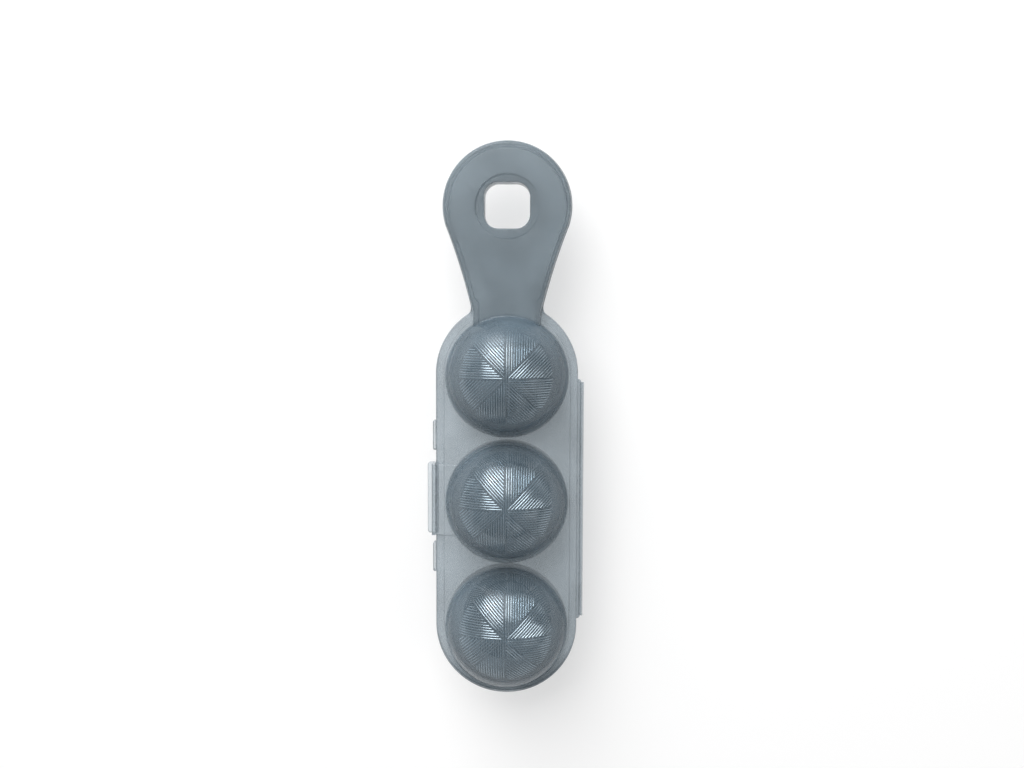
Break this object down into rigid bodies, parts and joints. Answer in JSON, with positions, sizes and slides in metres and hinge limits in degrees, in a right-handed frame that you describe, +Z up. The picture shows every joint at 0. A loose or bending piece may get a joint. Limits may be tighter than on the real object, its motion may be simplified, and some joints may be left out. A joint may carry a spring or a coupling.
{
  "type": "rice ball mold",
  "caption": "Clamshell shaker mold for small round rice balls: ribbed half-round cups in a row, long living hinge, snap clasp and a hollow paddle handle with a hanging hole.",
  "frame": {"origin": "on the table, at the middle of the centre pad under the middle cup, with the mold closed on its feet", "axes": "+Z up out of the table, +Y along the row of cups towards the handle, +X towards the long hinge"},
  "size_m": [0.0454, 0.16, 0.0361],
  "materials": {
    "smoke_shell": "translucent smoky blue-grey polypropylene, satin gloss",
    "smoke_film": "thin bending film of the same polypropylene, paler because it is thin",
    "smoke_clasp": "the same translucent polypropylene, satin gloss"
  },
  "bodies": {
    "lower": {"lower_half": "smoke_shell", "hinge_film": "smoke_film"},
    "upper": {"upper_half": "smoke_shell", "clasp_film": "smoke_film"},
    "clasp": {"clasp_flap": "smoke_clasp"}
  },
  "joints": [
    {"name": "mold_opening", "type": "hinge", "parent": "lower", "child": "upper", "pos_m": [0.0218, 0.00065, 0.01825], "axis": [0, 1, 0], "range_deg": [0, 180]},
    {"name": "clasp_swing", "type": "hinge", "parent": "upper", "child": "clasp", "pos_m": [-0.0208, 0.00065, 0.02065], "axis": [0, 1, 0], "range_deg": [0, 120]}
  ]
}
